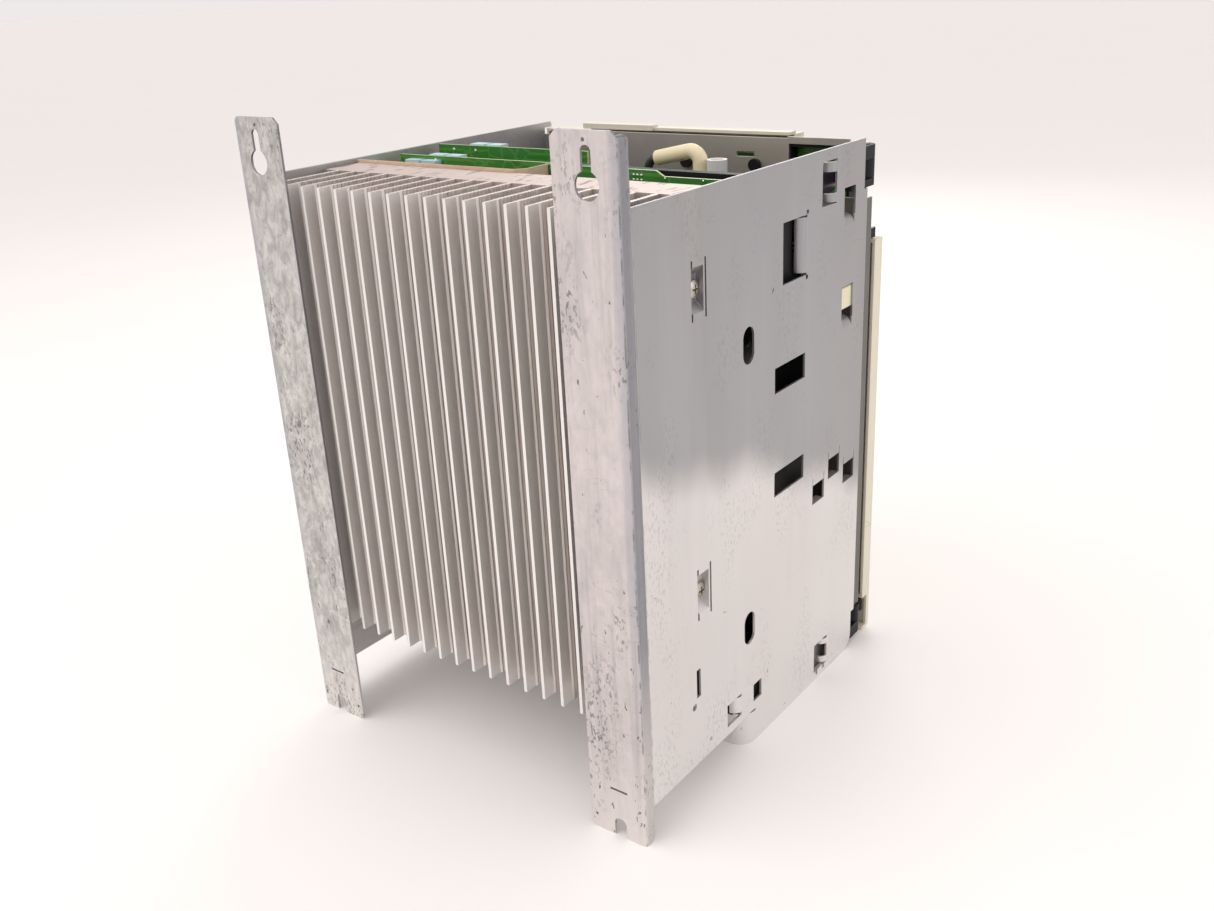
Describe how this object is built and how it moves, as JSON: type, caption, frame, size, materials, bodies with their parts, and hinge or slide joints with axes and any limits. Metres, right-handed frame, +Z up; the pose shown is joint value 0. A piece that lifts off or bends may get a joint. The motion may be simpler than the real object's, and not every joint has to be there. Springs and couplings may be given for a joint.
{
  "type": "servo drive",
  "caption": "Wall-mounted thyristor servo drive: open sheet-metal chassis around a finned heat sink, with circuit boards and a hinged front carrier and cover.",
  "frame": {"origin": "on the floor under the centre of the bounding box", "axes": "+Z up along the mounting flanges, -Y towards the operator's front cover, +Y towards the mounting wall, +X to the operator's right"},
  "size_m": [0.265, 0.283, 0.385],
  "materials": {
    "galvanised_sheet": "zinc-coated sheet steel with faint spangle, satin, scuffed",
    "extruded_aluminium": "bare extruded aluminium, satin",
    "zinc_screws": "bright zinc plate",
    "module_plastic": "dark moulded epoxy",
    "busbar_copper": "bare copper bar, lightly tarnished",
    "transformer_tape": "wound core under varnished tape",
    "black_plastic": "black moulded plastic, low gloss",
    "hard_paper": "brown insulating sheet",
    "brass_spacer": "turned brass",
    "board_green": "green solder mask on glass-epoxy board",
    "connector_blue": "pale blue moulded connector",
    "film_blue": "blue boxed film capacitor",
    "capacitor_sleeve": "dark blue heat-shrink sleeve",
    "light_grey_plastic": "light grey moulding",
    "capacitor_jacket": "dark plum shrink sleeve round a capacitor",
    "cream_sleeve": "cream silicone sleeving",
    "dark_lead": "dark rubber-insulated lead",
    "red_lead": "red insulated wire",
    "cream_nylon": "natural nylon",
    "carrier_steel": "zinc-coated sheet steel, satin",
    "terminal_green": "green terminal strip",
    "display_red": "dark red filter window",
    "key_grey": "grey keycap",
    "cover_beige": "beige moulded cover, fine texture"
  },
  "bodies": {
    "root": {"mounting_rail_left": "galvanised_sheet", "mounting_rail_right": "galvanised_sheet", "side_panel_left": "galvanised_sheet", "side_panel_right": "galvanised_sheet", "heat_sink": "extruded_aluminium", "heat_sink_screws": "zinc_screws", "thyristor_module_1": "module_plastic", "thyristor_module_2": "module_plastic", "thyristor_module_3": "module_plastic", "field_rectifier": "black_plastic", "module_screws": "zinc_screws", "supply_busbars": "busbar_copper", "armature_busbars": "busbar_copper", "current_transformers": "transformer_tape", "power_terminal_block": "black_plastic", "power_terminal_bolts": "zinc_screws", "terminal_bracket": "galvanised_sheet", "bottom_plate": "galvanised_sheet", "ground_stud": "zinc_screws", "insulating_shroud": "hard_paper", "board_spacers": "brass_spacer", "snubber_board": "board_green", "gate_board": "board_green", "supply_board": "board_green", "board_connectors": "connector_blue", "film_capacitors": "film_blue", "pulse_transformers": "black_plastic", "electrolytic_capacitors": "capacitor_sleeve", "card_rail": "black_plastic", "potted_transformer": "black_plastic", "filter_board": "board_green", "ring_capacitor": "light_grey_plastic", "sleeved_capacitor": "capacitor_jacket", "lead_sleeve": "cream_sleeve", "sleeved_lead": "dark_lead", "red_leads": "red_lead", "cable_clamp": "cream_nylon", "hinge_block_upper": "black_plastic", "hinge_block_lower": "black_plastic", "hinge_pins": "zinc_screws"},
    "carrier": {"carrier_plate": "carrier_steel", "carrier_knuckle_upper": "black_plastic", "carrier_knuckle_lower": "black_plastic", "cover_hinge_pins": "zinc_screws", "board_studs": "black_plastic", "control_board": "board_green", "control_chips": "black_plastic", "signal_terminals": "terminal_green", "service_port": "carrier_steel", "cover_post": "zinc_screws", "operator_housing": "black_plastic", "display_window": "display_red", "key_board": "board_green"},
    "key_down": {"key_down": "key_grey"},
    "key_up": {"key_up": "key_grey"},
    "key_program": {"key_program": "key_grey"},
    "cover": {"front_cover": "cover_beige"},
    "cover_latch": {"cover_latch": "zinc_screws"},
    "carrier_latch_lower": {"carrier_latch_lower": "zinc_screws"},
    "carrier_latch_upper": {"carrier_latch_upper": "zinc_screws"}
  },
  "joints": [
    {"name": "carrier_hinge", "type": "hinge", "parent": "root", "child": "carrier", "pos_m": [-0.126, -0.123, 0.1795], "axis": [0, 0, -1], "range_deg": [0, 90]},
    {"name": "cover_hinge", "type": "hinge", "parent": "carrier", "child": "cover", "pos_m": [-0.127, -0.135, 0.16], "axis": [0, 0, -1], "range_deg": [0, 90]},
    {"name": "key_down_press", "type": "slide", "parent": "carrier", "child": "key_down", "axis": [0, 1, 0], "range_m": [0, 0.0008], "stiffness_N_per_m": 250},
    {"name": "key_up_press", "type": "slide", "parent": "carrier", "child": "key_up", "axis": [0, 1, 0], "range_m": [0, 0.0008], "stiffness_N_per_m": 250},
    {"name": "key_program_press", "type": "slide", "parent": "carrier", "child": "key_program", "axis": [0, 1, 0], "range_m": [0, 0.0008], "stiffness_N_per_m": 250},
    {"name": "cover_latch_turn", "type": "hinge", "parent": "cover", "child": "cover_latch", "pos_m": [0.102, -0.1405, 0.176], "axis": [0, -1, 0], "range_deg": [0, 90]},
    {"name": "carrier_latch_lower_turn", "type": "hinge", "parent": "carrier", "child": "carrier_latch_lower", "pos_m": [0.122, -0.1295, 0.066], "axis": [0, -1, 0], "range_deg": [0, 90]},
    {"name": "carrier_latch_upper_turn", "type": "hinge", "parent": "carrier", "child": "carrier_latch_upper", "pos_m": [0.122, -0.1295, 0.318], "axis": [0, -1, 0], "range_deg": [0, 90]}
  ]
}
